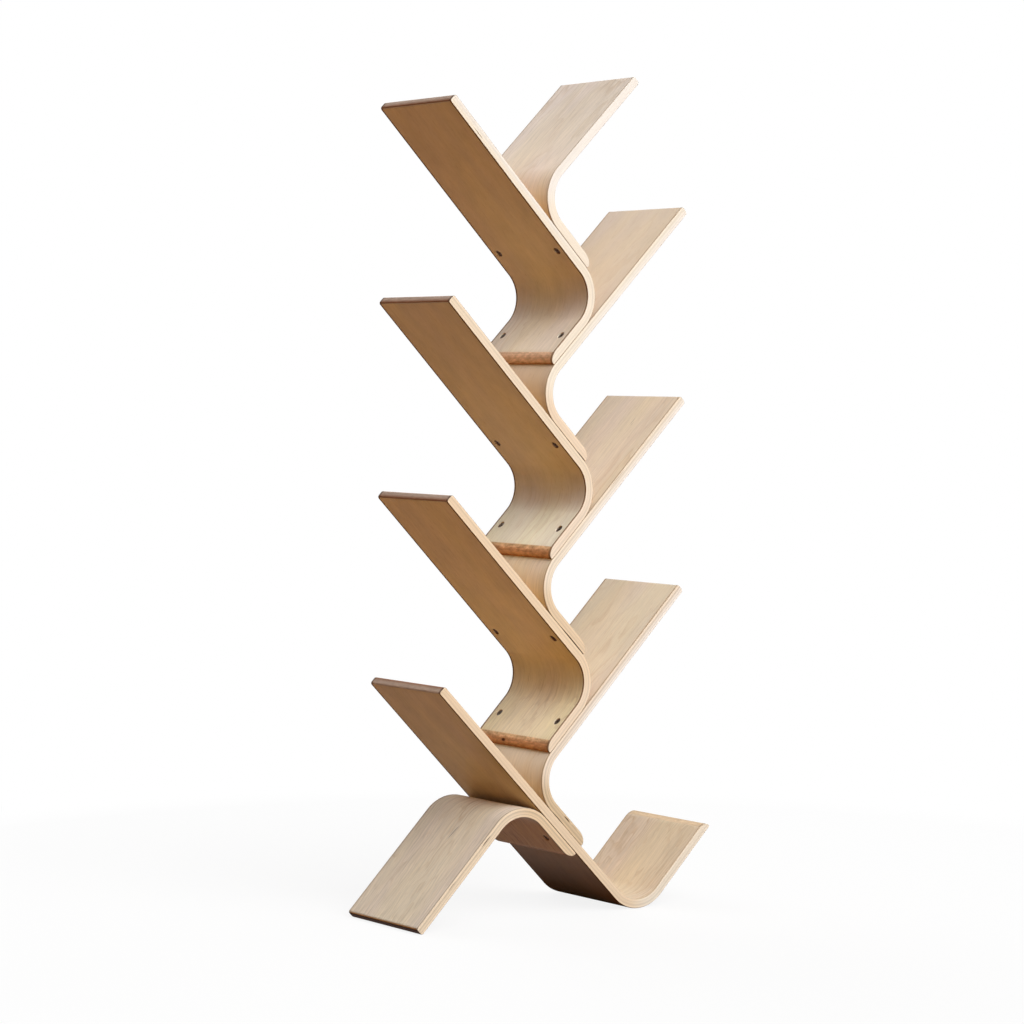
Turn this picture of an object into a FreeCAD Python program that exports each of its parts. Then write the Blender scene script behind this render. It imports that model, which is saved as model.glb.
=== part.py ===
import FreeCAD, Part

import math
import os

from FreeCAD import Vector

# A free-standing zigzag shelving unit of moulded plywood strips.
# Every strip is bent once. The shelves lean to the right and to the left in turn, and each one's
# short lower arm is bolted to the back of the next one's long arm.
# Lengths are in millimetres. +X is right, +Y is away from the front, +Z is up.
# The origin is on the floor, in the middle of the unit's width and depth.

# Driving sizes of the plywood strips
ply_thickness = 18.0
strip_depth = 230.0
bend_inside_radius = 64.0
arm_slope_degrees = 45.0            # every arm rises or falls this much from the level
side_edge_round = 1.5               # on the long edges of every strip
tip_round = 5.0                     # on both corners of a shelf's tip, and where the leg stands
lap_round = 2.5                     # on the corner of an arm's end that lies on the next strip
lap_nose_run = 26.0                 # how far along the strip that end's other corner is drawn out

# Driving lengths of the arms, along the convex face from the sharp corner of the bend
shelf_arm = 518.0
lap_arm = 186.0
runner_arm = 680.0
runner_cup_arm = 256.0

# Driving sizes of the stack
left_shelf_count = 3                # there is one more shelf on the right
shelf_pitch = 370.0                 # height from one shelf to the next one on its side
runner_lap_reach = 405.0            # along the runner, from its corner to the lowest shelf's corner

# Driving sizes of the bolted joints
bolt_from_corner = 123.0            # along the lap, from the upper strip's corner
bolt_from_edge = 22.0               # from the strip's front and back edges
shank_diameter = 6.0
shank_hole_clearance = 0.5          # all round
head_diameter = 15.0
head_thickness = 2.0
head_recess = 2.0                   # how deep the head lies under the plywood's face
head_hole_clearance = 0.3           # all round
sleeve_wall = 1.4
thread_clearance = 0.1              # all round, between the shank and the sleeve
sleeve_hole_clearance = 0.1         # all round
sleeve_end_gap = 3.0                # plywood left between the sleeve and the next strip
shank_end_gap = 4.0                 # from the shank's end to the sleeve nut's seat
sleeve_floor = 2.0                  # metal left between the sleeve's bore and its head
socket_across_flats = 4.0
socket_depth = 2.6
cut_overrun = 1.0
least_edge = 0.001                  # a straight edge that is shorter is left out

# Worked-out sizes
slope = math.radians(arm_slope_degrees)
bend_outside_radius = bend_inside_radius + ply_thickness
nose_round = ply_thickness - lap_round
corner_rise = shelf_pitch / 2
half_zigzag = corner_rise / (2 * math.tan(slope))
seat_depth = head_recess + head_thickness
bolt_side = strip_depth / 2 - bolt_from_edge
sleeve_bore = shank_diameter + 2 * thread_clearance
sleeve_diameter = sleeve_bore + 2 * sleeve_wall
sleeve_length = ply_thickness - seat_depth - sleeve_end_gap

# Directions of the arms, and of the faces that look up
up_right = Vector(math.cos(slope), 0, math.sin(slope))
up_left = Vector(-math.cos(slope), 0, math.sin(slope))
down_left = up_right * -1
down_right = up_left * -1
facing_up_right = Vector(math.sin(slope), 0, math.cos(slope))
facing_up_left = Vector(-math.sin(slope), 0, math.cos(slope))

# The runner's bend touches the floor, and the lowest shelf lies on the runner's long arm
runner_corner_height = bend_outside_radius - bend_outside_radius / math.cos(slope)
lap_above_runner = up_left * runner_lap_reach + facing_up_right * ply_thickness
runner_corner = Vector(-half_zigzag - lap_above_runner.x, 0, runner_corner_height)
lowest_shelf_corner = runner_corner + lap_above_runner

# The leg's round lower corner touches the floor
foot_corner = lowest_shelf_corner - facing_up_right * ply_thickness
leg_corner_drop = ply_thickness * math.cos(slope)
leg_round_lift = tip_round * (math.cos(slope) + math.sin(slope) - 1)
leg_arm = (foot_corner.z - leg_corner_drop + leg_round_lift) / math.sin(slope)


# An arm's direction and length, the rounds at its end on the convex and the concave side,
# and how far the concave one runs along the arm
def tip_arm(direction, length):
    return direction, length, tip_round, tip_round, tip_round


def nose_arm(direction, length):
    return direction, length, lap_round, nose_round, lap_nose_run


# The edge that rounds a corner of an outline: an arc, or part of an ellipse where its reaches differ
def corner_edge(before, corner, after, reach_before, reach_after):
    back = (before - corner).normalize()
    ahead = (after - corner).normalize()
    start = corner + back * reach_before
    end = corner + ahead * reach_after
    corner_weight = math.sin(back.getAngle(ahead) / 2)
    if reach_before == reach_after:
        middle = (start + corner * 2 * corner_weight + end) / (2 + 2 * corner_weight)
        return start, Part.Arc(start, middle, end).toShape(), end
    curve = Part.BezierCurve()
    curve.setPoles([start, corner, end])
    curve.setWeight(2, corner_weight)
    return start, curve.toShape(), end


# A closed outline in the XZ plane, from corners and how far their rounds reach before and after
def rounded_outline(corners):
    rounds = []
    for index, (corner, reach_before, reach_after) in enumerate(corners):
        before = corners[index - 1][0]
        after = corners[(index + 1) % len(corners)][0]
        rounds.append(corner_edge(before, corner, after, reach_before, reach_after))
    edges = []
    for index, (start, edge, end) in enumerate(rounds):
        last_end = rounds[index - 1][2]
        if last_end.distanceToPoint(start) > least_edge:
            edges.append(Part.LineSegment(last_end, start).toShape())
        edges.append(edge)
    return Part.Wire(edges)


# The unit vector square to one arm, on the side of the other
def square_towards(direction, other):
    return (other - direction * direction.dot(other)).normalize()


# A strip's outline, with two arms that leave the sharp corner of its convex face
def strip_outline(corner, first, second):
    first_way, first_length, first_convex, first_concave, first_run = first
    second_way, second_length, second_convex, second_concave, second_run = second
    half_angle = first_way.getAngle(second_way) / 2
    outside_reach = bend_outside_radius / math.tan(half_angle)
    inside_reach = bend_inside_radius / math.tan(half_angle)
    inwards = (first_way + second_way).normalize()
    inner_corner = corner + inwards * (ply_thickness / math.sin(half_angle))
    first_end = corner + first_way * first_length
    first_inner_end = first_end + square_towards(first_way, second_way) * ply_thickness
    second_end = corner + second_way * second_length
    second_inner_end = second_end + square_towards(second_way, first_way) * ply_thickness
    return rounded_outline([
        (first_end, first_convex, first_convex),
        (corner, outside_reach, outside_reach),
        (second_end, second_convex, second_convex),
        (second_inner_end, second_concave, second_run),
        (inner_corner, inside_reach, inside_reach),
        (first_inner_end, first_run, first_concave),
    ])


# An outline carried through the unit's depth, with its long edges rounded
def strip_solid(outline):
    face = Part.Face(outline)
    face.translate(Vector(0, -strip_depth / 2, 0))
    strip = face.extrude(Vector(0, strip_depth, 0))
    side_edges = [edge for edge in strip.Edges if edge.BoundBox.YLength < least_edge]
    return strip.makeFillet(side_edge_round, side_edges)


# The corners of the seven shelves from the top down, with the shelf's side and number
def shelf_corners():
    places = []
    shelf_count = 2 * left_shelf_count + 1
    for index in range(shelf_count):
        rise = corner_rise * (shelf_count - 1 - index)
        side = "right" if index % 2 == 0 else "left"
        x = -half_zigzag if side == "right" else half_zigzag
        corner = Vector(x, 0, lowest_shelf_corner.z + rise)
        places.append((side, index // 2 + 1, corner))
    return places


# The outlines of all the strips, from the top down
# The top shelf is pressed in the same mould as the leg and has its length
def strip_outlines():
    outlines = {}
    for side, number, corner in shelf_corners():
        name = "shelf_%s_%d" % (side, number)
        if side == "left":
            arms = tip_arm(up_left, shelf_arm), nose_arm(down_left, lap_arm)
        elif number == 1:
            arms = tip_arm(up_right, leg_arm), nose_arm(down_right, lap_arm)
        else:
            arms = tip_arm(up_right, shelf_arm), nose_arm(down_right, lap_arm)
        outlines[name] = strip_outline(corner, *arms)
    runner_arms = tip_arm(up_left, runner_arm), nose_arm(up_right, runner_cup_arm)
    outlines["base_runner"] = strip_outline(runner_corner, *runner_arms)
    foot_arms = tip_arm(down_left, leg_arm), nose_arm(down_right, lap_arm)
    outlines["prop_foot"] = strip_outline(foot_corner, *foot_arms)
    return outlines


# The joints from the top down: the strips that each one holds, the middle of the head's face,
# the way in from there, and how many strips it goes through
def bolted_joints():
    names = list(strip_outlines())
    joints = []
    for index, (side, number, corner) in enumerate(shelf_corners()):
        held = names[index:index + 2]
        along = down_left
        outwards = facing_up_left
        if side == "right":
            along = down_right
            outwards = facing_up_right
        if held[-1] == "base_runner":
            held = held + ["prop_foot"]
        head_face = corner + along * bolt_from_corner + outwards * ply_thickness
        joints.append((held, head_face, outwards * -1))
    return joints


# A round bar or hole from one point on, along a direction
def round_bar(diameter, length, start, way):
    return Part.makeCylinder(diameter / 2, length, start, way)


# The six-sided hole for a key
def key_socket(start, way):
    corner_radius = socket_across_flats / math.sqrt(3)
    side_count = 6
    corners = []
    for side in range(side_count + 1):
        turn = 2 * math.pi * side / side_count
        across = way.cross(Vector(0, 1, 0)) * math.cos(turn) + Vector(0, 1, 0) * math.sin(turn)
        corners.append(start - way * cut_overrun + across * corner_radius)
    outline = Part.Face(Part.makePolygon(corners))
    return outline.extrude(way * (socket_depth + cut_overrun))


# The hole for a flat head and what follows it, drilled from the plywood's face
def stepped_hole(face_point, way, inner_diameter, inner_length):
    before = face_point - way * cut_overrun
    head_hole = head_diameter + 2 * head_hole_clearance
    recess = round_bar(head_hole, seat_depth + cut_overrun, before, way)
    inner = round_bar(inner_diameter, inner_length + cut_overrun, before, way)
    return recess.fuse(inner)


# Both steps of one joint's hole through all its strips
def joint_hole(head_face, way, strips_thickness):
    shank_hole = shank_diameter + 2 * shank_hole_clearance
    sleeve_hole = sleeve_diameter + 2 * sleeve_hole_clearance
    nut_face = head_face + way * strips_thickness
    from_head = stepped_hole(head_face, way, shank_hole, strips_thickness - seat_depth)
    from_nut = stepped_hole(nut_face, way * -1, sleeve_hole, seat_depth + sleeve_length)
    return from_head.fuse(from_nut)


# A flat-headed bolt
def bolt(head_face, way, strips_thickness):
    top = head_face + way * head_recess
    seat = top + way * head_thickness
    shank_length = strips_thickness - 2 * seat_depth - shank_end_gap
    head = round_bar(head_diameter, head_thickness, top, way)
    shank = round_bar(shank_diameter, shank_length, seat, way)
    return head.fuse(shank).cut(key_socket(top, way)).removeSplitter()


# A flat-headed nut with a long threaded sleeve
def sleeve_nut(nut_face, way):
    top = nut_face + way * head_recess
    seat = top + way * head_thickness
    head = round_bar(head_diameter, head_thickness, top, way)
    sleeve = round_bar(sleeve_diameter, sleeve_length, seat, way)
    bore_start = seat + way * sleeve_floor
    bore = round_bar(sleeve_bore, sleeve_length - sleeve_floor + cut_overrun, bore_start, way)
    return head.fuse(sleeve).cut(bore).cut(key_socket(top, way)).removeSplitter()


def moved(shape, offset):
    copy = shape.copy()
    copy.translate(offset)
    return copy


# A shape made at the middle of the depth, at a joint's front and back places
def front_and_back(shape):
    places = Vector(0, -bolt_side, 0), Vector(0, bolt_side, 0)
    return [moved(shape, place) for place in places]


def build_nodes():
    outlines = strip_outlines()
    nodes = {}
    for name, outline in outlines.items():
        nodes[name] = [strip_solid(outline)]
    for number, (held, head_face, way) in enumerate(bolted_joints(), start=1):
        strips_thickness = ply_thickness * len(held)
        nut_face = head_face + way * strips_thickness
        for hole in front_and_back(joint_hole(head_face, way, strips_thickness)):
            for name in held:
                nodes[name] = [nodes[name][0].cut(hole)]
        nodes["bolts_joint_%d" % number] = front_and_back(bolt(head_face, way, strips_thickness))
        nodes["sleeve_nuts_joint_%d" % number] = front_and_back(sleeve_nut(nut_face, way * -1))
    spread = Part.makeCompound(list(outlines.values())).BoundBox
    to_origin = Vector(-(spread.XMin + spread.XMax) / 2, 0, 0)
    for name, shapes in nodes.items():
        solids = [solid for shape in shapes for solid in shape.Solids]
        nodes[name] = [moved(solid, to_origin) for solid in solids]
    return nodes


def write_nodes(nodes):
    os.makedirs("parts", exist_ok=True)
    for name, solids in nodes.items():
        shape = solids[0] if len(solids) == 1 else Part.makeCompound(solids)
        shape.exportStep("parts/%s.step" % name)
        print(name, len(solids), shape.isValid(), round(shape.Volume))


write_nodes(build_nodes())
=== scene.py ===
import math

import bmesh
import bpy
from mathutils import Matrix, Vector


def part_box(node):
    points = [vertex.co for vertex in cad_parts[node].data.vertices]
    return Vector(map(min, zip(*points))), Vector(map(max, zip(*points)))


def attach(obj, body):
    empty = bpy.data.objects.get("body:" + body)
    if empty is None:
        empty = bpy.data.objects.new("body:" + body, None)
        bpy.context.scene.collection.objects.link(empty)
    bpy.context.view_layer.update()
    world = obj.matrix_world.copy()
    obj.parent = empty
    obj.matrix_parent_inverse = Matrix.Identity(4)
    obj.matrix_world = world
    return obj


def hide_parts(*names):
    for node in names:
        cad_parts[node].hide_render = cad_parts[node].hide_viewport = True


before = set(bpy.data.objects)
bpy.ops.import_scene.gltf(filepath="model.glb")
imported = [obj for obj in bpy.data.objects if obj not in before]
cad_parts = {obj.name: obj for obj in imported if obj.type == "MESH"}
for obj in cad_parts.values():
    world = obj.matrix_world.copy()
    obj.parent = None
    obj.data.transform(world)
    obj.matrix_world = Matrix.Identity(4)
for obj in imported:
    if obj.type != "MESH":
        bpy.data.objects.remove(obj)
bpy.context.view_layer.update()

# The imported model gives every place. New meshes stand for its nodes, with the same sizes,
# so that the bends are smooth and the wood's pattern can follow them.
print("frame loaded:", len(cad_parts), "nodes")


# Sizes are in metres
strip = {
    "thickness": 0.018,
    "depth": 0.230,
    "insideBend": 0.064,
    "sideRound": 0.0015,     # long edges
    "tipRound": 0.005,       # both corners of a shelf's tip
    "lapRound": 0.0025,      # the corner of a lap's end that touches the next strip
    "noseRun": 0.026,        # how far along the strip the lap end's other corner is drawn out
    "bendSteps": 48,
    "sideSteps": 4,
    "noseSteps": 16,
    "roundSteps": 7,
    "outlineTurn": 80,       # degrees, past which an edge belongs to the outline
    "smoothUnder": 40,       # degrees
}
armLength = {
    "shelf": 0.518,
    "lap": 0.186,
    "runner": 0.680,
    "cup": 0.256,
}
fastener = {
    "headRadius": 0.0075,
    "headThickness": 0.002,
    "headEase": 0.0005,
    "recess": 0.002,
    "holeClearance": 0.0003,
    "holeEase": 0.0004,
    "shankRadius": 0.003,
    "sleeveRadius": 0.0045,
    "sleeveLength": 0.011,
    "sleeveFloor": 0.002,
    "shankEndGap": 0.004,
    "boreClearance": 0.0001,
    "socketRadius": 0.0023,
    "socketDepth": 0.0026,
    "innerHoleRadius": 0.0046,
    "steps": 48,
    "easeSteps": 4,
    "socketSides": 6,
    "overrun": 0.001,
    "smoothUnder": 35,           # degrees
}

slant = math.sqrt(0.5)       # every arm lies at 45 degrees
upRight = Vector((slant, 0, slant))
upLeft = Vector((-slant, 0, slant))
downRight = Vector((slant, 0, -slant))
downLeft = Vector((-slant, 0, -slant))
acrossY = Vector((0, 1, 0))
weldDistance = 1e-6

outsideBend = strip["insideBend"] + strip["thickness"]
cornerGap = math.sqrt(2) - 1          # from a square corner to its round, for a radius of one


def tidyMesh(bm):
    bmesh.ops.remove_doubles(bm, verts=bm.verts, dist=weldDistance)
    bmesh.ops.recalc_face_normals(bm, faces=bm.faces)


def newObject(name, bm):
    mesh = bpy.data.meshes.new(name)
    bm.to_mesh(mesh)
    bm.free()
    piece = bpy.data.objects.new(name, mesh)
    bpy.context.scene.collection.objects.link(piece)
    return piece


def bakeModifiers(piece):
    # the finished mesh, with its modifiers in it
    graph = bpy.context.evaluated_depsgraph_get()
    mesh = bpy.data.meshes.new_from_object(piece.evaluated_get(graph))
    piece.modifiers.clear()
    piece.data = mesh


def smoothShading(piece, sharpAngle):
    piece.data.polygons.foreach_set("use_smooth", [True] * len(piece.data.polygons))
    piece.data.set_sharp_from_angle(angle=math.radians(sharpAngle))
    weighted = piece.modifiers.new("flatFacesStayFlat", "WEIGHTED_NORMAL")
    weighted.keep_sharp = True
    weighted.weight = 100
    bakeModifiers(piece)


def cutAway(piece, cutter):
    cut = piece.modifiers.new("cut", "BOOLEAN")
    cut.operation = "DIFFERENCE"
    cut.solver = "EXACT"
    cut.object = cutter
    bakeModifiers(piece)
    bpy.data.objects.remove(cutter)


# Strips. Each is an L in its own axes: its first arm lies along X and its second along Z,
# with the sharp corner of the convex face at the origin.
def roundCorner(bm, place, radius, steps):
    corner = min(bm.verts, key=lambda vert: (vert.co - place).length)
    bmesh.ops.bevel(bm, geom=[corner], offset=radius, offset_type="OFFSET", segments=steps,
                    profile=0.5, affect="VERTICES", material=-1)


def drawOutNose(bm, secondLength):
    # the round at a lap's end becomes part of an ellipse, longer along the strip
    reach = strip["thickness"] - strip["lapRound"]
    for vert in bm.verts:
        fromEnd = secondLength - vert.co.z
        if vert.co.x > strip["lapRound"] - weldDistance and fromEnd < reach + weldDistance:
            vert.co.z = secondLength - fromEnd * strip["noseRun"] / reach


def cutAcrossBend(bm):
    # one cut through the thickness at each step of the bend, so that its sides have even faces
    middle = (outsideBend, 0, outsideBend)
    for step in range(strip["bendSteps"] + 1):
        turn = math.radians(90 * step / strip["bendSteps"])
        bmesh.ops.bisect_plane(bm, geom=bm.verts[:] + bm.edges[:] + bm.faces[:], dist=weldDistance,
                               plane_co=middle, plane_no=(math.cos(turn), 0, -math.sin(turn)))


def stripShape(firstLength, secondLength):
    thick = strip["thickness"]
    near = -strip["depth"] / 2
    places = {
        "tipConvex": (firstLength, 0),
        "bendConvex": (0, 0),
        "lapConvex": (0, secondLength),
        "lapConcave": (thick, secondLength),
        "bendConcave": (thick, thick),
        "tipConcave": (firstLength, thick),
    }
    rounds = {
        "tipConvex": (strip["tipRound"], strip["roundSteps"]),
        "bendConvex": (outsideBend, strip["bendSteps"]),
        "lapConvex": (strip["lapRound"], strip["roundSteps"]),
        "lapConcave": (thick - strip["lapRound"], strip["noseSteps"]),
        "bendConcave": (strip["insideBend"], strip["bendSteps"]),
        "tipConcave": (strip["tipRound"], strip["roundSteps"]),
    }
    bm = bmesh.new()
    bm.faces.new([bm.verts.new((x, near, z)) for x, z in places.values()])
    for name, (x, z) in places.items():
        radius, steps = rounds[name]
        roundCorner(bm, Vector((x, near, z)), radius, steps)
    drawOutNose(bm, secondLength)
    bmesh.ops.remove_doubles(bm, verts=bm.verts, dist=weldDistance)
    cutAcrossBend(bm)
    grown = bmesh.ops.extrude_face_region(bm, geom=bm.faces[:])["geom"]
    farVerts = [item for item in grown if isinstance(item, bmesh.types.BMVert)]
    bmesh.ops.translate(bm, verts=farVerts, vec=acrossY * strip["depth"])
    outlineTurn = math.radians(strip["outlineTurn"])
    outlineEdges = [edge for edge in bm.edges if edge.calc_face_angle(0) > outlineTurn
                    and abs(edge.verts[0].co.y - edge.verts[1].co.y) < weldDistance]
    bmesh.ops.bevel(bm, geom=outlineEdges, offset=strip["sideRound"], offset_type="OFFSET",
                    segments=strip["sideSteps"], profile=0.5, affect="EDGES", material=-1)
    tidyMesh(bm)
    return bm


def lowestCorner(bm):
    return Vector([min(vert.co[axis] for vert in bm.verts) for axis in range(3)])


def flatPlace(point):
    # where a point of the L lies once the strip is pressed flat: along it, across it, through it
    along, across, up = point
    bendHalf = math.pi / 4
    middleRadius = outsideBend - strip["thickness"] / 2
    if along >= outsideBend:
        return Vector((middleRadius * bendHalf + along - outsideBend, across, up)), 0
    if up >= outsideBend:
        return Vector((outsideBend - up - middleRadius * bendHalf, across, along)), math.pi / 2
    turn = math.atan2(outsideBend - along, outsideBend - up)
    radius = math.hypot(outsideBend - along, outsideBend - up)
    return Vector((middleRadius * (bendHalf - turn), across, outsideBend - radius)), turn


def flatDirection(normal, turn):
    along = normal.x * math.cos(turn) - normal.z * math.sin(turn)
    through = normal.x * math.sin(turn) + normal.z * math.cos(turn)
    return Vector((along, normal.y, through))


def storeFlatPlaces(piece, toWorld):
    # "flatPlace" and "flatFacing" let the wood's pattern follow the bend
    mesh = piece.data
    toLocal = toWorld.inverted()
    turnToLocal = toLocal.to_3x3()
    places = mesh.attributes.new("flatPlace", "FLOAT_VECTOR", "POINT")
    for vert in mesh.vertices:
        places.data[vert.index].vector = flatPlace(toLocal @ vert.co)[0]
    facings = mesh.attributes.new("flatFacing", "FLOAT_VECTOR", "CORNER")
    for polygon in mesh.polygons:
        turn = flatPlace(toLocal @ polygon.center)[1]
        facing = flatDirection(turnToLocal @ polygon.normal, turn)
        for loop in polygon.loop_indices:
            facings.data[loop].vector = facing


def makeStrip(node, first, second, holes):
    firstWay, firstLength = first
    secondWay, secondLength = second
    bm = stripShape(firstLength, secondLength)
    toWorld = Matrix((firstWay, acrossY, secondWay)).transposed().to_4x4()
    bmesh.ops.transform(bm, matrix=toWorld, verts=bm.verts)
    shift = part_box(node)[0] - lowestCorner(bm)
    shift.y = 0
    bmesh.ops.translate(bm, verts=bm.verts, vec=shift)
    bmesh.ops.recalc_face_normals(bm, faces=bm.faces)
    toWorld.translation = shift
    piece = newObject(pieceName(node), bm)
    cutAway(piece, joinedHoles(holes))
    storeFlatPlaces(piece, toWorld)
    smoothShading(piece, strip["smoothUnder"])
    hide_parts(node)
    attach(piece, "root")
    return piece


def pieceName(node):
    first, *rest = node.split("_")
    return first + "".join(word.capitalize() for word in rest)


# Bolted joints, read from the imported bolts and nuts
def spunShape(profile):
    bm = bmesh.new()
    verts = [bm.verts.new((radius, 0, height)) for radius, height in profile]
    edges = [bm.edges.new(pair) for pair in zip(verts, verts[1:])]
    bmesh.ops.spin(bm, geom=verts + edges, cent=(0, 0, 0), axis=(0, 0, 1), angle=2 * math.pi,
                   steps=fastener["steps"], use_merge=True)
    tidyMesh(bm)
    return bm


def jointPlace(number):
    # where a joint's bolts go in, on the plywood's face and in the middle of its depth; the way in;
    # the length through both strips; and how far each bolt lies from that middle
    side = "right" if number % 2 else "left"
    way = downLeft if side == "right" else downRight
    boltLow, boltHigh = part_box("bolts_joint_%d" % number)
    nutLow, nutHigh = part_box("sleeve_nuts_joint_%d" % number)
    reach = fastener["headRadius"] * slant
    headX = boltHigh.x - reach if side == "right" else boltLow.x + reach
    nutX = nutLow.x + reach if side == "right" else nutHigh.x - reach
    headTop = Vector((headX, 0, boltHigh.z - reach))
    nutTop = Vector((nutX, 0, nutLow.z + reach))
    sideway = boltHigh.y - fastener["headRadius"]
    length = (nutTop - headTop).length + 2 * fastener["recess"]
    return headTop - way * fastener["recess"], way, length, sideway


def frontAndBack(bm, face, way, sideway):
    toPlace = Matrix((acrossY.cross(way), acrossY, way)).transposed().to_4x4()
    toPlace.translation = face - acrossY * sideway
    bmesh.ops.transform(bm, matrix=toPlace, verts=bm.verts)
    copied = bmesh.ops.duplicate(bm, geom=bm.verts[:] + bm.edges[:] + bm.faces[:])["geom"]
    copiedVerts = [item for item in copied if isinstance(item, bmesh.types.BMVert)]
    bmesh.ops.translate(bm, verts=copiedVerts, vec=acrossY * 2 * sideway)
    bmesh.ops.recalc_face_normals(bm, faces=bm.faces)


def holeShape(number):
    face, way, length, sideway = jointPlace(number)
    hole = fastener["headRadius"] + fastener["holeClearance"]
    ease = fastener["holeEase"]
    seat = fastener["recess"] + fastener["headThickness"]
    over = fastener["overrun"]
    inner = fastener["innerHoleRadius"]
    bm = spunShape([
        (0, -over), (hole + ease, -over), (hole + ease, 0), (hole, ease), (hole, seat),
        (inner, seat), (inner, length - seat),
        (hole, length - seat), (hole, length - ease), (hole + ease, length),
        (hole + ease, length + over), (0, length + over),
    ])
    frontAndBack(bm, face, way, sideway)
    return bm


def joinedHoles(numbers):
    joined = bmesh.new()
    for number in numbers:
        bm = holeShape(number)
        mesh = bpy.data.meshes.new("hole")
        bm.to_mesh(mesh)
        bm.free()
        joined.from_mesh(mesh)
        bpy.data.meshes.remove(mesh)
    return newObject("holes", joined)


def socketCutter(top, way, sideway):
    depth = fastener["socketDepth"] + fastener["overrun"]
    bm = bmesh.new()
    radius = fastener["socketRadius"]
    bmesh.ops.create_cone(bm, cap_ends=True, segments=fastener["socketSides"], radius1=radius,
                          radius2=radius, depth=depth)
    middle = depth / 2 - fastener["overrun"]
    bmesh.ops.translate(bm, verts=bm.verts, vec=(0, 0, middle))
    frontAndBack(bm, top, way, sideway)
    return newObject("sockets", bm)


def headProfile():
    radius = fastener["headRadius"]
    ease = fastener["headEase"]
    thick = fastener["headThickness"]
    steps = fastener["easeSteps"]
    turns = [math.radians(90 - 90 * step / steps) for step in range(steps + 1)]
    rim = [(radius - ease + ease * math.cos(turn), ease - ease * math.sin(turn)) for turn in turns]
    return [(0, 0)] + rim + [(radius, thick)]


def storeTurnedPlaces(piece, top, way, sideway):
    # a place from each head's own middle, for the rings that turning leaves
    axes = Matrix((acrossY.cross(way), acrossY, way))
    places = piece.data.attributes.new("turnedPlace", "FLOAT_VECTOR", "POINT")
    for vert in piece.data.vertices:
        middle = top + acrossY * math.copysign(sideway, vert.co.y)
        places.data[vert.index].vector = axes @ (vert.co - middle)


def makeFastener(node, top, way, sideway, profile):
    bm = spunShape(profile)
    frontAndBack(bm, top, way, sideway)
    piece = newObject(pieceName(node), bm)
    cutAway(piece, socketCutter(top, way, sideway))
    storeTurnedPlaces(piece, top, way, sideway)
    smoothShading(piece, fastener["smoothUnder"])
    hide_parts(node)
    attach(piece, "root")
    return piece


def makeJoint(number):
    face, way, length, sideway = jointPlace(number)
    seat = fastener["recess"] + fastener["headThickness"]
    thick = fastener["headThickness"]
    shank = fastener["shankRadius"]
    shankEnd = thick + length - 2 * seat - fastener["shankEndGap"]
    boltProfile = headProfile() + [(shank, thick), (shank, shankEnd), (0, shankEnd)]
    sleeve = fastener["sleeveRadius"]
    bore = shank + fastener["boreClearance"]
    sleeveEnd = thick + fastener["sleeveLength"]
    boreStart = thick + fastener["sleeveFloor"]
    nutProfile = headProfile() + [(sleeve, thick), (sleeve, sleeveEnd), (bore, sleeveEnd),
                                  (bore, boreStart), (0, boreStart)]
    headTop = face + way * fastener["recess"]
    nutTop = face + way * (length - fastener["recess"])
    bolts = makeFastener("bolts_joint_%d" % number, headTop, way, sideway, boltProfile)
    nuts = makeFastener("sleeve_nuts_joint_%d" % number, nutTop, -way, sideway, nutProfile)
    return bolts, nuts


# The leg is as long as the foot's height asks for, and the top shelf has its length
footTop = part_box("prop_foot")[1].z
footCornerHeight = footTop + outsideBend * cornerGap
legLength = footCornerHeight / slant - strip["thickness"] + strip["tipRound"] * cornerGap / slant

rowCount = 3
lastJoint = 2 * rowCount + 1
strips = {}


def addStrip(node, first, second, joints):
    strips[node] = makeStrip(node, first, second, joints)


lap = armLength["lap"]
shelf = armLength["shelf"]
addStrip("shelf_right_1", (upRight, legLength), (downRight, lap), [1])
for row in range(1, rowCount + 1):
    addStrip("shelf_left_%d" % row, (upLeft, shelf), (downLeft, lap), [2 * row - 1, 2 * row])
    addStrip("shelf_right_%d" % (row + 1), (upRight, shelf), (downRight, lap), [2 * row, 2 * row + 1])
addStrip("base_runner", (upLeft, armLength["runner"]), (upRight, armLength["cup"]), [lastJoint])
addStrip("prop_foot", (downLeft, legLength), (downRight, lap), [lastJoint])
print("strips made:", len(strips))

fasteners = [piece for number in range(1, lastJoint + 1) for piece in makeJoint(number)]
print("bolts and nuts made:", len(fasteners))


# Materials
def srgb(red, green, blue):
    # a colour as a screen shows it, 0 to 255, turned linear
    parts = [value / 255 for value in (red, green, blue)]
    linear = [part / 12.92 if part <= 0.04045 else ((part + 0.055) / 1.055) ** 2.4 for part in parts]
    return (*linear, 1)


def feed(tree, node, values):
    for key, value in values.items():
        if isinstance(value, bpy.types.NodeSocket):
            tree.links.new(value, node.inputs[key])
        else:
            node.inputs[key].default_value = value


def calc(tree, operation, *terms):
    node = tree.nodes.new("ShaderNodeMath")
    node.operation = operation
    feed(tree, node, dict(enumerate(terms)))
    return node.outputs[0]


def plus(tree, first, second):
    return calc(tree, "ADD", first, second)


def times(tree, first, second):
    return calc(tree, "MULTIPLY", first, second)


def oneMinus(tree, value):
    return calc(tree, "SUBTRACT", 1, value)


def scaled(tree, value, amount, base=0.0):
    return plus(tree, times(tree, value, amount), base)


def swing(tree, value, width, middle=1.0):
    # a noise from 0 to 1, made as wide as asked around the middle
    return scaled(tree, value, width, middle - width / 2)


def ramp(tree, value, start, end):
    # 0 up to the start, 1 past the end, smooth between; the start may be the greater
    node = tree.nodes.new("ShaderNodeMapRange")
    node.interpolation_type = "SMOOTHSTEP"
    feed(tree, node, {"Value": value, "From Min": start, "From Max": end})
    return node.outputs["Result"]


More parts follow.
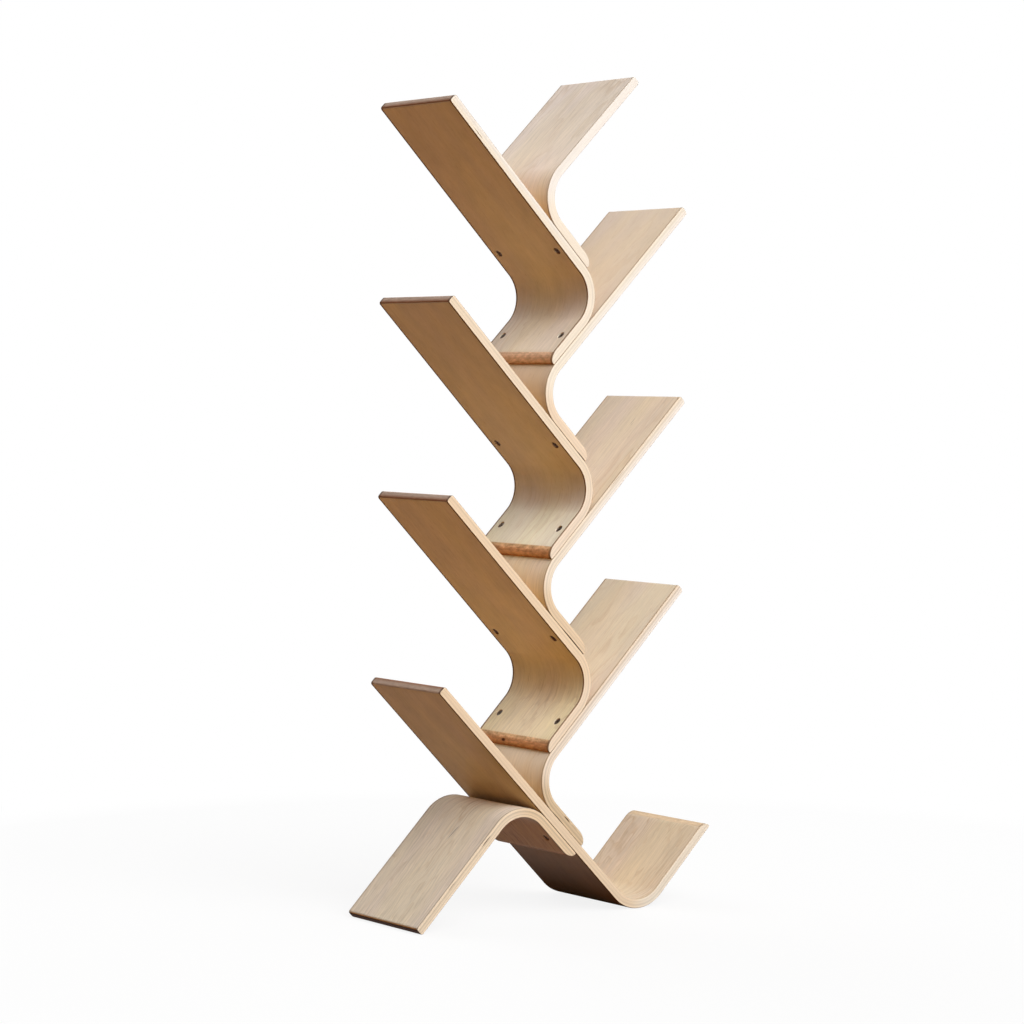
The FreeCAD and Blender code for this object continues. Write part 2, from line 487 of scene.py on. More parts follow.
def vector(tree, x, y, z):
    node = tree.nodes.new("ShaderNodeCombineXYZ")
    feed(tree, node, {0: x, 1: y, 2: z})
    return node.outputs[0]


def blend(tree, factor, first, second, mode="MIX"):
    node = tree.nodes.new("ShaderNodeMix")
    node.data_type = "RGBA"
    node.blend_type = mode
    feed(tree, node, {0: factor, 6: first, 7: second})
    return node.outputs[2]


def tinted(tree, colour, tone):
    return blend(tree, 1, colour, vector(tree, tone, tone, tone), "MULTIPLY")


def noise(tree, place, scale, detail, roughness):
    node = tree.nodes.new("ShaderNodeTexNoise")
    feed(tree, node, {"Vector": place, "Scale": scale, "Detail": detail, "Roughness": roughness})
    return node.outputs[0]


def bumped(tree, height, strength, depth):
    node = tree.nodes.new("ShaderNodeBump")
    feed(tree, node, {"Strength": strength, "Distance": depth, "Height": height})
    return node.outputs[0]


def attributeParts(tree, name):
    node = tree.nodes.new("ShaderNodeAttribute")
    node.attribute_name = name
    split = tree.nodes.new("ShaderNodeSeparateXYZ")
    tree.links.new(node.outputs["Vector"], split.inputs[0])
    return split.outputs[0], split.outputs[1], split.outputs[2]


def newMaterial(name):
    material = bpy.data.materials.new(name)
    material.use_nodes = True
    tree = material.node_tree
    shader = tree.nodes["Principled BSDF"]
    return material, tree, shader


wood = {
    "face": srgb(231, 212, 180),
    "faceShade": srgb(196, 166, 128),
    "line": srgb(168, 130, 90),
    "yellower": (1.005, 1.01, 0.965, 1),
    "redder": (0.99, 0.985, 1.03, 1),
    "paleEdge": srgb(253, 250, 244),
    "thrownTint": (1, 0.81, 0.48, 1),
    "glue": srgb(150, 104, 70),
    # dark marks, and painted shade at the sides of cut ends and where a lap rests on the next strip
    "gap": srgb(66, 38, 20),
    "seedStep": 7.31,               # metres between the places that two strips are cut from
    "longArm": (-0.03, 0.02),       # along the strip, where the long arm starts
    "bendFrom": 0.03,
    "outerFace": (0.010, 0.008),    # through the strip, its convex half
    "faceDepth": (0.0006, 0.0010),
    "faceTurn": (0.45, 0.75),       # how squarely a surface has to look out to show the face
    "markEdge": (0.25, 1.0),
}

# How often each noise repeats in a metre, along, across and through the flat strip; then its
# detail and roughness
woodNoises = {
    "cloud": (2.6, 9, 70, 2, 0.5),
    "patches": (3.1, 9, 70, 2, 0.5),
    "slow": (2.3, 8, 70, 3, 0.45),
    "sway": (16, 30, 70, 2, 0.5),
    "mottling": (13, 26, 70, 3, 0.6),
    "streaks": (14, 230, 70, 3, 0.6),
    "fibre": (40, 900, 70, 3, 0.6),
    "flecks": (60, 520, 70, 1, 0.5),
    "waver": (9, 9, 30, 2, 0.5),
    "blotch": (9, 9, 330, 3, 0.55),
    "endMottle": (130, 62, 210, 3, 0.6),
    "cutGrain": (50, 50, 1700, 3, 0.6),
    "pores": (900, 900, 1100, 2, 0.5),
}


def woodNoise(tree, place, name):
    *scales, detail, roughness = woodNoises[name]
    stretched = [times(tree, part, scale) for part, scale in zip(place, scales)]
    return noise(tree, vector(tree, *stretched), 1, detail, roughness)


faceGrain = {
    "swayReach": 0.012,             # metres across, by which the streaks sway
    "loopDarkens": (0.5, 0.92),     # shares of a loop's width
    "loopEnds": (0.92, 1.0),
    "patch": (0.38, 0.7),           # the loops show in patches only
    "fleck": (0.64, 0.74),
    "cloud": (0.35, 0.7),
    "warmth": (0.35, 0.65),
    "lapStart": (-0.015, -0.075),   # along the strip, where the lap's own tone sets in
    "cloudShare": 0.35,
    "fleckShare": 0.22,
    "fibreWidth": 0.16,
    "mottlingWidth": 0.4,
    "mottlingAbove": 0.4,           # of the mottling on the long arm's lower face
    "loopsBelow": 0.25,
    "streaksBelow": 0.5,
}


def loopPattern(tree, place, sway, slow, look):
    # thin-edged loops, as where a rotary cut runs through the year rings
    rise = plus(tree, times(tree, slow, look["loops"]), times(tree, sway, look["curl"]))
    saw = calc(tree, "FRACT", rise)
    ending = oneMinus(tree, ramp(tree, saw, *faceGrain["loopEnds"]))
    loops = times(tree, ramp(tree, saw, *faceGrain["loopDarkens"]), ending)
    return times(tree, loops, ramp(tree, woodNoise(tree, place, "patches"), *faceGrain["patch"]))


def faceLook(tree, place, ownAlong, isUnder, look):
    # rotary-cut birch: fine streaks, faint loops and short flecks, all drawn out along the strip
    along, across, through = place
    leaning = (along, plus(tree, across, times(tree, along, look["lean"])), through)
    slow = woodNoise(tree, leaning, "slow")
    sway = woodNoise(tree, leaning, "sway")
    loops = loopPattern(tree, leaning, sway, slow, look)
    loops = times(tree, loops, scaled(tree, isUnder, faceGrain["loopsBelow"] - 1, 1))
    waving = (along, plus(tree, leaning[1], scaled(tree, sway, faceGrain["swayReach"])), through)
    streaks = swing(tree, woodNoise(tree, waving, "streaks"), 1, 0)
    streaks = times(tree, streaks, scaled(tree, isUnder, faceGrain["streaksBelow"] - 1, 1))
    fibre = woodNoise(tree, waving, "fibre")
    flecks = ramp(tree, woodNoise(tree, waving, "flecks"), *faceGrain["fleck"])
    mottling = swing(tree, woodNoise(tree, leaning, "mottling"), faceGrain["mottlingWidth"], 0)
    above = faceGrain["mottlingAbove"]
    mottling = times(tree, mottling, scaled(tree, isUnder, 1 - above, above))

    cloud = ramp(tree, woodNoise(tree, leaning, "cloud"), *faceGrain["cloud"])
    colour = blend(tree, times(tree, cloud, faceGrain["cloudShare"]), look["tone"], wood["face"])
    warmth = blend(tree, ramp(tree, slow, *faceGrain["warmth"]), wood["yellower"], wood["redder"])
    colour = blend(tree, 1, colour, warmth, "MULTIPLY")
    # the lap made lighter than the long arm's lower face, and warmer on the foot: painted light
    onLap = ramp(tree, ownAlong, *faceGrain["lapStart"])
    colour = blend(tree, onLap, colour, look["paintedLapLight"], "MULTIPLY")
    colour = blend(tree, times(tree, loops, look["figure"]), colour, wood["faceShade"])
    colour = blend(tree, times(tree, flecks, faceGrain["fleckShare"]), colour, wood["line"])
    colour = tinted(tree, colour, plus(tree, mottling, 1))
    colour = tinted(tree, colour, scaled(tree, streaks, look["streaks"], 1))
    return tinted(tree, colour, swing(tree, fibre, faceGrain["fibreWidth"])), fibre, flecks


# Veneers from the convex face inwards: thickness in mm, and how much darker its cut end is
veneers = (
    (1.6, 0.1), (1.7, 0), (1.6, 0.15), (1.6, 1), (1.7, 0.7), (1.6, 0.3), (1.7, 0.2), (1.6, 0.75),
    (1.6, 0.1), (1.7, 0), (1.6, 0.2),
)
cutGrain = {
    "glueHalfWidth": 0.2,           # mm, where a line's soft side starts
    "glueLevel": (0.2, 0.8),
    "glueShare": 0.25,
    "waver": 0.0006,                # metres by which the layers waver
    "endWander": 0.0044,            # and by which the colours of an end do
    "noseStarts": (0.002, 0.008),   # through the strip, the fading of the low colour, painted shade where the end meets the next strip
    "noseEnds": (0.0135, 0.0172),
    "tipMottle": 0.7,
    "atTip": (-0.01, 0.01),         # along the strip, parts the lap's end from the tip
    "shortArm": (-0.03, 0.03),
    "paleAlong": (0.03, 0.2),
    "sideShade": (0.0025, 0.0085),  # in from the strip's sides, where an end's shade fades
    "sideShadeLeft": 0.25,
    "endTurn": (0.35, 0.65),        # how far a cut surface has to look along the strip to be an end
    "grainWidth": 0.14,
    "blotchWidth": 0.2,
    "pore": (0.54, 0.7),
    "poreShare": 0.05,
    "poreShareAtEnds": 0.25,
    "rimWidth": (0.0028, 0.0042),   # in from the strip's sides
    "rimTurn": (0.3, 0.6),
    "backHalf": (-0.01, 0.01),      # across the strip
    "backRimShare": 0.62,           # depths at the back edge count for less, so its rim is wider
    "nearlyNone": 0.001,
}


def rampOfSteps(tree, value, stops, kind):
    node = tree.nodes.new("ShaderNodeValToRGB")
    node.color_ramp.interpolation = kind
    tree.links.new(value, node.inputs[0])
    elements = node.color_ramp.elements
    elements.remove(elements[-1])
    for index, (place, level) in enumerate(stops):
        element = elements[0] if index == 0 else elements.new(place)
        element.position = place
        element.color = (level, level, level, 1)
    return node.outputs[0]


def layerPattern(tree, through):
    # how dark each veneer's cut end is, and 1 on the glue lines
    total = sum(thickness for thickness, darkness in veneers)
    share = calc(tree, "DIVIDE", through, strip["thickness"])
    darkStops = []
    glueStops = [(0, 0)]
    depth = 0
    for thickness, darkness in veneers:
        darkStops.append((depth / total, darkness))
        if depth:
            for offset, level in ((-1, 0), (0, 1), (1, 0)):
                glueStops.append(((depth + offset * cutGrain["glueHalfWidth"]) / total, level))
        depth += thickness
    return rampOfSteps(tree, share, darkStops, "CONSTANT"), rampOfSteps(tree, share, glueStops, "LINEAR")


def endColour(tree, along, through, inFromSide, mottle, look):
    # across the grain: a lap's end goes from dark, painted shade where it meets the next strip, to pale,
    # partly painted light towards its upper face; a shelf's tip is greyer; both darken towards the
    # strip's sides, as painted shade
    wandering = plus(tree, through, swing(tree, mottle, cutGrain["endWander"], 0))
    noseLow, noseMiddle, noseHigh = look["nose"]
    nose = blend(tree, ramp(tree, wandering, *cutGrain["noseEnds"]), noseMiddle, noseHigh)
    nose = blend(tree, ramp(tree, wandering, *cutGrain["noseStarts"]), noseLow, nose)
    nose = tinted(tree, nose, swing(tree, mottle, look["mottle"]))
    tipFirst, tipRest, changeFrom, changeTo = look["tip"]
    tip = blend(tree, ramp(tree, through, changeFrom, changeTo), tipFirst, tipRest)
    tip = tinted(tree, tip, swing(tree, mottle, cutGrain["tipMottle"]))
    colour = blend(tree, ramp(tree, along, *cutGrain["atTip"]), nose, tip)
    left = cutGrain["sideShadeLeft"]
    shown = scaled(tree, ramp(tree, inFromSide, *cutGrain["sideShade"]), 1 - left, left)
    return blend(tree, shown, wood["gap"], colour)


def rimPattern(tree, across, inFromSide, facing):
    # a thin line along both long edges, where the face veneer is rubbed through; on the long arm's lower
    # face it is darker still, as painted shade
    atBack = ramp(tree, across, *cutGrain["backHalf"])
    rimDepth = times(tree, inFromSide, scaled(tree, atBack, cutGrain["backRimShare"] - 1, 1))
    atSide = oneMinus(tree, ramp(tree, rimDepth, *cutGrain["rimWidth"]))
    return times(tree, ramp(tree, facing[2], *cutGrain["rimTurn"]), atSide)


def cutLook(tree, place, ownAlong, isUnder, facing, look):
    # the cut layers: pale where the grain runs past, darker where its ends show
    along, across, through = place
    waver = woodNoise(tree, place, "waver")
    darkness, glueNear = layerPattern(tree, plus(tree, through, swing(tree, waver, cutGrain["waver"], 0)))
    grain = woodNoise(tree, place, "cutGrain")
    pores = ramp(tree, woodNoise(tree, place, "pores"), *cutGrain["pore"])
    blotch = woodNoise(tree, place, "blotch")
    mottle = woodNoise(tree, place, "endMottle")

    # the near edges' colours, given strip by strip, are paler high up and darker and warmer lower down:
    # painted light that falls off downwards
    side = blend(tree, ramp(tree, ownAlong, *cutGrain["shortArm"]), look["shortEdge"], look["edge"])
    paleFrom, paleTo, paleShare = look["pale"]
    isPale = ramp(tree, through, paleFrom, paleTo)
    isPale = times(tree, isPale, ramp(tree, ownAlong, *cutGrain["paleAlong"]))
    side = blend(tree, times(tree, isPale, paleShare), side, wood["paleEdge"])
    inFromSide = calc(tree, "SUBTRACT", strip["depth"] / 2, calc(tree, "ABSOLUTE", across))
    end = endColour(tree, ownAlong, through, inFromSide, mottle, look)
    anyCut = plus(tree, plus(tree, facing[0], facing[1]), cutGrain["nearlyNone"])
    atEnd = ramp(tree, calc(tree, "DIVIDE", facing[0], anyCut), *cutGrain["endTurn"])
    colour = blend(tree, atEnd, side, end)

    colour = tinted(tree, colour, scaled(tree, darkness, -look["layers"], 1))
    colour = tinted(tree, colour, swing(tree, grain, cutGrain["grainWidth"]))
    colour = tinted(tree, colour, swing(tree, blotch, cutGrain["blotchWidth"]))
    poreRise = cutGrain["poreShareAtEnds"] - cutGrain["poreShare"]
    poreShare = scaled(tree, atEnd, poreRise, cutGrain["poreShare"])
    colour = blend(tree, times(tree, pores, poreShare), colour, wood["line"])
    onGlue = ramp(tree, glueNear, *cutGrain["glueLevel"])
    colour = blend(tree, times(tree, onGlue, cutGrain["glueShare"]), colour, wood["glue"])
    rim = rimPattern(tree, across, inFromSide, facing)
    # the rim is darker on the long arm's lower face: painted shade
    rimWearAndShade = blend(tree, isUnder, look.get("rimAwayFromShade", look["rim"]), look["rim"])
    return blend(tree, rim, colour, rimWearAndShade), grain, rim


def addMark(tree, colour, place, mark):
    # a dark streak, pin knot or open seam between plies, or painted shade where a lap rests on the next
    # strip: an egg shape in the flat strip
    centre, size, slope, strength = mark
    offsets = [calc(tree, "SUBTRACT", part, middle) for part, middle in zip(place, centre)]
    offsets[1] = plus(tree, offsets[1], times(tree, offsets[0], slope))
    shares = [calc(tree, "DIVIDE", offset, half) for offset, half in zip(offsets, size)]
    squares = [calc(tree, "POWER", share, 2) for share in shares]
    far = plus(tree, plus(tree, squares[0], squares[1]), squares[2])
    inside = oneMinus(tree, ramp(tree, far, *wood["markEdge"]))
    return blend(tree, times(tree, inside, strength), colour, wood["gap"])


lacquer = {
    "level": 0.05,                  # hardly shiny, and not at all on a bend's outer face
    "faceRoughness": 0.4,
    "fibreRoughness": 0.12,
    "cutRoughness": 0.55,
    "grainRoughness": 0.1,
    "reliefStrength": 0.25,
    "reliefDepth": 0.0002,
    "fleckDepth": 0.5,
}


def makePlywood(name, look):
    material, tree, shader = newMaterial(name)
    along, across, through = attributeParts(tree, "flatPlace")
    facing = [calc(tree, "ABSOLUTE", part) for part in attributeParts(tree, "flatFacing")]
    place = (plus(tree, along, look["seed"] * wood["seedStep"]), across, through)
    isLower = ramp(tree, through, *look["underFrom"])
    isUnder = times(tree, ramp(tree, along, *wood["longArm"]), isLower)
    paintedBendShading, bendReach = look["bend"]
    nearBend = oneMinus(tree, ramp(tree, calc(tree, "ABSOLUTE", along), wood["bendFrom"], bendReach))
    atBend = times(tree, nearBend, ramp(tree, through, *wood["outerFace"]))
    face, fibre, flecks = faceLook(tree, place, along, isUnder, look)
    # painted shading on the bend's outer face: painted shade on shelf_right_2 and base_runner, painted
    # light on prop_foot
    face = blend(tree, atBend, face, paintedBendShading, "MULTIPLY")
    cut, grain, rim = cutLook(tree, place, along, isUnder, facing, look)

    # the face veneer's own surface, and the cut layers elsewhere
    depth = calc(tree, "MINIMUM", through, calc(tree, "SUBTRACT", strip["thickness"], through))
    shallow = oneMinus(tree, ramp(tree, depth, *wood["faceDepth"]))
    isFace = times(tree, shallow, ramp(tree, facing[2], *wood["faceTurn"]))
    isFace = times(tree, isFace, oneMinus(tree, rim))
    surface = blend(tree, isFace, cut, face)
    for mark in look["marks"]:
        surface = addMark(tree, surface, (along, across, through), mark)

    # light that the wood throws on other wood is warmer than the lamps' own
    path = tree.nodes.new("ShaderNodeLightPath")
    thrown = blend(tree, 1, surface, wood["thrownTint"], "MULTIPLY")
    surface = blend(tree, path.outputs["Is Diffuse Ray"], surface, thrown)
    shine = scaled(tree, atBend, -lacquer["level"], lacquer["level"])
    feed(tree, shader, {"Base Color": surface, "Specular IOR Level": shine})

    # satin lacquer on the faces, drier on the cut layers
    satin = scaled(tree, fibre, lacquer["fibreRoughness"], lacquer["faceRoughness"])
    dry = scaled(tree, grain, lacquer["grainRoughness"], lacquer["cutRoughness"])
    roughness = plus(tree, times(tree, isFace, satin), times(tree, oneMinus(tree, isFace), dry))
    relief = calc(tree, "SUBTRACT", fibre, times(tree, flecks, lacquer["fleckDepth"]))
    raised = bumped(tree, relief, lacquer["reliefStrength"], lacquer["reliefDepth"])
    feed(tree, shader, {"Roughness": roughness, "Normal": raised})
    return material


turnedMetal = {
    "ringTurn": 16000,              # radians in a metre of the marks that turning leaves
    "ringStrength": 0.3,
    "ringDepth": 0.00005,
    "smudge": (420, 3, 0.5),        # scale, detail and roughness of the noise
    "smudgeWidth": 0.5,
    "dullWidth": 0.2,
}


def makeFastenerMetal(name, colour, roughness):
    material, tree, shader = newMaterial(name)
    x, y, z = attributeParts(tree, "turnedPlace")
    radius = calc(tree, "SQRT", plus(tree, times(tree, x, x), times(tree, y, y)))
    rings = calc(tree, "SINE", times(tree, radius, turnedMetal["ringTurn"]))
    smudge = noise(tree, vector(tree, x, y, z), *turnedMetal["smudge"])
    shaded = tinted(tree, colour, swing(tree, smudge, turnedMetal["smudgeWidth"]))
    dull = swing(tree, smudge, turnedMetal["dullWidth"], roughness)
    raised = bumped(tree, rings, turnedMetal["ringStrength"], turnedMetal["ringDepth"])
    feed(tree, shader, {"Metallic": 1.0, "Base Color": shaded, "Roughness": dull, "Normal": raised})
    return material


# Each strip has its own cut of wood. Places are along, across and through the flat strip, from
# the middle of its bend; along is positive on the long arm.
nearSide = -strip["depth"] / 2
sameTone = (1, 1, 1, 1)
paleBelow = (0.003, 0.015, 0.75)        # from and to this depth, and how much
evenEdge = (0, 0.018, 0)
underIsConcave = (0.008, 0.010)         # which face of the long arm is the lower one
underIsConvex = (0.010, 0.008)

# A tip's two colours and where they change; then a lap end's colours, low, middle and high
greyTip = (srgb(190, 165, 147), srgb(146, 100, 70), 0.006, 0.017)
# the foot's tip: a pale line at its upper corner, painted highlight, over a near-black end, painted shade
# by the floor
darkTip = (srgb(232, 178, 120), srgb(72, 36, 14), 0.0018, 0.0030)
# a lap end's low colour is painted shade where it meets the next strip; its paler high colour is partly
# painted light
brownNose = (srgb(142, 88, 52), srgb(202, 150, 110), srgb(226, 190, 148))
redNose = (srgb(154, 106, 74), srgb(220, 178, 146), srgb(228, 192, 162))
paleNose = (srgb(206, 172, 140), srgb(224, 198, 164), srgb(228, 204, 172))

# What a strip has where its own look doesn't say otherwise
plainStrip = {
    "lean": 0.02,                       # how far the grain leans across
    "loops": 12,
    "curl": 1.0,
    "figure": 0.3,                      # how strongly the loops show
    # painted light on the lap: how its colour is raised over the long arm's lower face
    "paintedLapLight": sameTone,
    "bend": (sameTone, 0.13),           # painted shading on the bend's outer face, below 1 painted shade and above 1 painted light; then how far along it this fades
    "pale": evenEdge,
    "nose": brownNose,
    "mottle": 1.7,
    "tip": greyTip,
    "underFrom": underIsConcave,
    "marks": [],
}
# "rim" is the line along the long edges, darker on the long arm's lower face as painted shade;
# "rimAwayFromShade" is the same line away from that face.
# A mark is its middle, its half sizes, its slope and its strength.
# "edge" and "shortEdge" are in the main paler on the upper strips and darker and warmer on the lower
# ones: painted light that falls off downwards.
stripLooks = {
    "shelf_right_1": {
        "seed": 1,
        "tone": srgb(242, 227, 212),
        "edge": srgb(252, 250, 244),
        "shortEdge": srgb(250, 242, 226),
        "rim": srgb(206, 190, 172),
        "pale": paleBelow,
        "layers": 0.04,
        "streaks": 0.5,
        "figure": 0.35,
        "lean": 0.03,
        "marks": [((0.300, 0.050, 0), (0.016, 0.0012, 0.001), 0.1, 0.15)],
    },
    "shelf_left_1": {
        "seed": 2,
        "tone": srgb(228, 212, 195),
        "paintedLapLight": (1.04, 1.06, 1.04, 1),
        "edge": srgb(250, 242, 224),
        "shortEdge": srgb(252, 244, 227),
        "rim": srgb(120, 82, 48),
        "rimAwayFromShade": srgb(150, 124, 98),
        "pale": (0.014, 0.004, 0.7),
        "nose": redNose,
        "mottle": 1.3,
        "layers": 0.12,
        "streaks": 0.35,
        "curl": 1.6,
        "marks": [((0.407, nearSide, 0.0122), (0.016, 0.002, 0.0008), 0, 0.75)],
    },
    "shelf_right_2": {
        "seed": 3,
        "tone": srgb(228, 215, 196),
        # painted shade on the bend's outer face
        "bend": ((0.94, 0.88, 0.83, 1), 0.13),
        "edge": srgb(252, 246, 230),
        "shortEdge": srgb(247, 228, 203),
        "rim": srgb(196, 176, 152),
        "pale": paleBelow,
        "layers": 0.13,
        "streaks": 0.1,
        "figure": 0.14,
        # painted shade along the near edge, where the lap rests on the next strip
        "marks": [((-0.148, nearSide, 0.0005), (0.018, 0.003, 0.0014), 0, 0.75)],
    },
    "shelf_left_2": {
        "seed": 4,
        "tone": srgb(227, 214, 199),
        "paintedLapLight": (1.15, 1.25, 1.20, 1),
        "edge": srgb(246, 231, 207),
        "shortEdge": srgb(248, 233, 213),
        "rim": srgb(118, 80, 46),
        "rimAwayFromShade": srgb(150, 124, 98),
        "layers": 0.17,
        "streaks": 0.25,
        "curl": 1.6,
        "figure": 0.2,
        "lean": -0.02,
    },
    "shelf_right_3": {
        "seed": 5,
        "tone": srgb(230, 217, 198),
        "edge": srgb(249, 238, 219),
        "shortEdge": srgb(238, 216, 185),
        "rim": srgb(198, 178, 152),
        "pale": paleBelow,
        "layers": 0.2,
        "streaks": 0.4,
        "loops": 10,
        "curl": 0.8,
        "lean": 0.01,
        "marks": [
            ((0.4215, -0.0300, 0), (0.011, 0.0011, 0.001), 0.05, 0.35),
            ((0.4150, -0.0350, 0), (0.008, 0.0010, 0.001), 0.05, 0.25),
            ((0.2700, nearSide, 0.0030), (0.030, 0.002, 0.0007), 0, 0.55),
            # painted shade along the near edge, where the lap rests on the next strip
            ((-0.128, nearSide, 0.0005), (0.052, 0.003, 0.0017), 0, 0.85),
        ],
    },
    "shelf_left_3": {
        "seed": 6,
        "tone": srgb(240, 220, 184),
        "paintedLapLight": (1.04, 1.09, 1.11, 1),
        "edge": srgb(243, 222, 192),
        "shortEdge": srgb(244, 226, 202),
        "rim": srgb(118, 80, 44),
        "rimAwayFromShade": srgb(150, 122, 94),
        "layers": 0.17,
        "streaks": 0.5,
        "loops": 11,
        "curl": 2.6,
        "figure": 0.38,
        "lean": 0.03,
        "marks": [((-0.150, 0.0297, 0.0116), (0.020, 0.0075, 0.0026), 0, 0.95)],
    },
    "shelf_right_4": {
        "seed": 7,
        "tone": srgb(230, 219, 199),
        "edge": srgb(245, 231, 212),
        "shortEdge": srgb(223, 200, 166),
        "rim": srgb(194, 174, 148),
        "pale": paleBelow,
        "layers": 0.27,
        "streaks": 0.3,
        "marks": [
            # painted shade along the lap's near edge, in its joints with the strips on either side
            ((-0.097, nearSide, 0.0134), (0.011, 0.003, 0.0014), 0, 0.95),
            ((-0.078, nearSide, 0.0005), (0.022, 0.003, 0.0013), 0, 0.7),
            ((-0.122, nearSide, 0.0140), (0.012, 0.003, 0.0009), 0, 0.3),
        ],
    },
    "base_runner": {
        "seed": 8,
        "tone": srgb(221, 203, 180),
        # painted shade on the bend's outer face, darkest by the floor
        "bend": ((0.42, 0.30, 0.15, 1), 0.26),
        "edge": srgb(238, 216, 186),
        "shortEdge": srgb(243, 232, 213),
        "rim": srgb(118, 82, 50),
        "rimAwayFromShade": srgb(206, 184, 156),
        "nose": paleNose,
        "mottle": 0.5,
        "underFrom": underIsConvex,
        "layers": 0.15,
        "streaks": 0.45,
        "loops": 24,
        "curl": 2.4,
        "figure": 0.5,
        "lean": -0.02,
    },
    "prop_foot": {
        "seed": 9,
        "tone": srgb(228, 211, 190),
        "paintedLapLight": (1.25, 1.14, 0.88, 1),
        # painted light on the bend's outer face, at the top of the leg
        "bend": ((1.08, 1.12, 1.14, 1), 0.13),
        "edge": srgb(244, 226, 199),
        "shortEdge": srgb(237, 213, 179),
        "rim": srgb(196, 178, 156),
        "tip": darkTip,
        "layers": 0.3,
        "streaks": 0.7,
        "loops": 18,
        "curl": 2.4,
        "figure": 0.5,
        "lean": 0.06,
        "marks": [
            ((0.0965, -0.0117, 0), (0.020, 0.0012, 0.001), -0.115, 0.75),
            ((0.0983, nearSide, 0.0048), (0.017, 0.003, 0.0010), 0, 0.95),
            ((0.2080, nearSide, 0.0042), (0.014, 0.003, 0.0007), 0, 0.6),
        ],
    },
}
for node, look in stripLooks.items():
    strips[node].data.materials.clear()
    strips[node].data.materials.append(makePlywood(pieceName(node) + "Birch", {**plainStrip, **look}))

boltMetal = makeFastenerMetal("boltMetal", srgb(92, 80, 70), 0.4)
# the nuts' metal is darker and browner than the bolts': painted shade, as every nut sits on a lower face
shadedNutMetal = makeFastenerMetal("shadedNutMetal", srgb(84, 54, 32), 0.45)
for piece in fasteners:
    metal = boltMetal if piece.name.startswith("bolts") else shadedNutMetal
    piece.data.materials.clear()
    piece.data.materials.append(metal)
print("materials made")


# Floor, light and camera
studio = {
    "floorRadius": 30.0,
    "floorSides": 96,
    "floorRoughness": 0.9,
    "plainFrom": 0.7,            # metres from the object, where the floor starts to fade to white
    "plainTo": 1.8,
    "floorColour": (0.90, 0.90, 0.90, 1),
    "floorWhite": 0.86,          # how much of the floor shows plain white even near the object
    "nearBounce": (0.12, 0.036, 0.004, 1),          # what the floor throws back beside the object
    "farBounce": (0.36, 0.18, 0.062, 1),
    "bounceFrom": 0.16,
    "bounceTo": 1.0,
    "glowNarrowness": 14,
}
# Soft parts of the sky. name: direction and strength
glows = {
    "front": ((0, -0.85, 0.53), 5.75),
    "frontLow": ((0, -0.99, 0.14), 0.95),
    "frontHigh": ((0, -0.53, 0.85), 2.76),
    "back": ((0, 0.85, 0.53), 3.84),
    "rightLow": ((0.99, 0, 0.14), 2.45),
}


def seenDirectly(tree):
    # 1 for what the camera, a reflection or clear glass sees
    path = tree.nodes.new("ShaderNodeLightPath")
    seen = calc(tree, "MAXIMUM", path.outputs["Is Camera Ray"], path.outputs["Is Glossy Ray"])
    return calc(tree, "MAXIMUM", seen, path.outputs["Is Transmission Ray"])


def mixShaders(tree, factor, first, second):
    node = tree.nodes.new("ShaderNodeMixShader")
    feed(tree, node, {0: factor, 1: first, 2: second})
    return node.outputs[0]


def makeFloor():
    bm = bmesh.new()
    bmesh.ops.create_circle(bm, cap_ends=True, segments=studio["floorSides"],
                            radius=studio["floorRadius"])
    floor = newObject("floor", bm)
    material, tree, shader = newMaterial("paleFloor")
    feed(tree, shader, {"Base Color": studio["floorColour"], "Roughness": studio["floorRoughness"],
                        "Specular IOR Level": 0.0})
    plain = tree.nodes.new("ShaderNodeEmission")
    place = tree.nodes.new("ShaderNodeTexCoord")
    away = tree.nodes.new("ShaderNodeVectorMath")
    away.operation = "LENGTH"
    tree.links.new(place.outputs["Object"], away.inputs[0])
    far = ramp(tree, away.outputs["Value"], studio["plainFrom"], studio["plainTo"])
    bounceShare = ramp(tree, away.outputs["Value"], studio["bounceFrom"], studio["bounceTo"])
    bounce = tree.nodes.new("ShaderNodeBsdfDiffuse")
    feed(tree, bounce, {"Color": blend(tree, bounceShare, studio["nearBounce"], studio["farBounce"])})
    fade = calc(tree, "MAXIMUM", far, studio["floorWhite"])
    shown = mixShaders(tree, fade, shader.outputs[0], plain.outputs[0])
    final = mixShaders(tree, seenDirectly(tree), bounce.outputs[0], shown)
    tree.links.new(final, tree.nodes["Material Output"].inputs["Surface"])
    floor.data.materials.append(material)


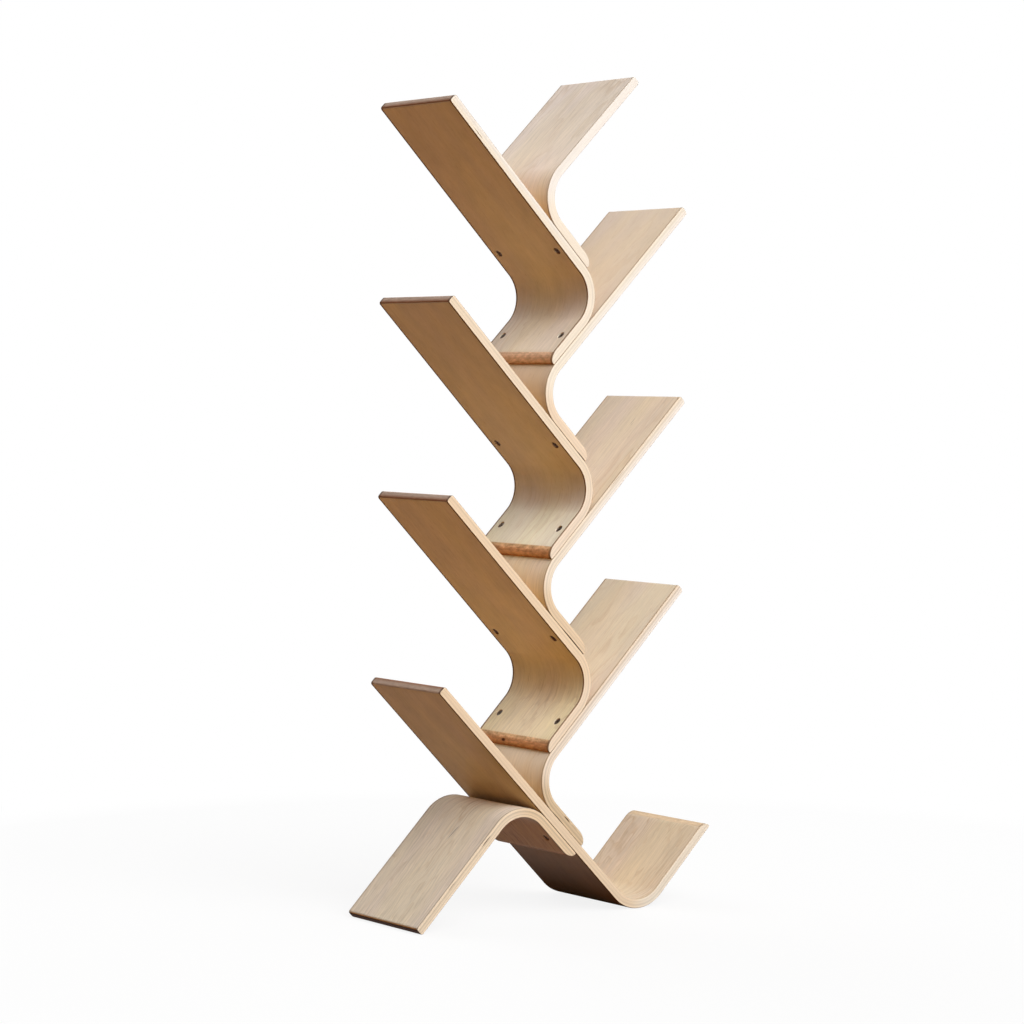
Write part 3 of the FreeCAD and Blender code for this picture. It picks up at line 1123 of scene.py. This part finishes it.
def makeSky():
    world = bpy.data.worlds.new("softSky")
    bpy.context.scene.world = world
    world.use_nodes = True
    tree = world.node_tree
    light = tree.nodes["Background"]
    place = tree.nodes.new("ShaderNodeTexCoord")
    level = 0.0
    for direction, strength in glows.values():
        aimed = tree.nodes.new("ShaderNodeVectorMath")
        aimed.operation = "DOT_PRODUCT"
        feed(tree, aimed, {0: place.outputs["Generated"], 1: Vector(direction).normalized()})
        ahead = calc(tree, "MAXIMUM", aimed.outputs["Value"], 0)
        near = calc(tree, "POWER", ahead, studio["glowNarrowness"])
        level = plus(tree, level, times(tree, near, strength))
    feed(tree, light, {"Color": (1, 1, 1, 1), "Strength": level})
    plain = tree.nodes.new("ShaderNodeBackground")
    feed(tree, plain, {"Color": (1, 1, 1, 1)})
    final = mixShaders(tree, seenDirectly(tree), light.outputs[0], plain.outputs[0])
    tree.links.new(final, tree.nodes["World Output"].inputs["Surface"])


# The camera was solved from the corners of the strips in the photograph
view = {
    "place": (-3.59696, -4.74570, 1.03420),
    "yaw": 0.6406,           # radians, to the right of +Y
    "pitch": -0.04249,
    "roll": 0.00916,
    "focalPixels": 3071.08,
    "imagePixels": 1024,
    "axisPixel": (511.525, 508.038),
    "sensor": 36.0,
    "clipEnd": 100,
}


def makeCamera():
    yaw, pitch, roll = view["yaw"], view["pitch"], view["roll"]
    forward = Vector((math.sin(yaw) * math.cos(pitch), math.cos(yaw) * math.cos(pitch), math.sin(pitch)))
    level = Vector((math.cos(yaw), -math.sin(yaw), 0))
    upright = level.cross(forward)
    right = level * math.cos(roll) + upright * math.sin(roll)
    up = upright * math.cos(roll) - level * math.sin(roll)
    data = bpy.data.cameras.new("camera")
    data.sensor_width = view["sensor"]
    data.lens = view["sensor"] * view["focalPixels"] / view["imagePixels"]
    middle = view["imagePixels"] / 2
    data.shift_x = (middle - view["axisPixel"][0]) / view["imagePixels"]
    data.shift_y = (view["axisPixel"][1] - middle) / view["imagePixels"]
    data.clip_end = view["clipEnd"]
    camera = bpy.data.objects.new("camera", data)
    bpy.context.scene.collection.objects.link(camera)
    turn = Matrix((right, up, -forward)).transposed().to_4x4()
    camera.matrix_world = Matrix.Translation(view["place"]) @ turn
    bpy.context.scene.camera = camera


makeFloor()
makeSky()
makeCamera()
bpy.context.scene.view_settings.view_transform = "Standard"
print("floor, light and camera made")
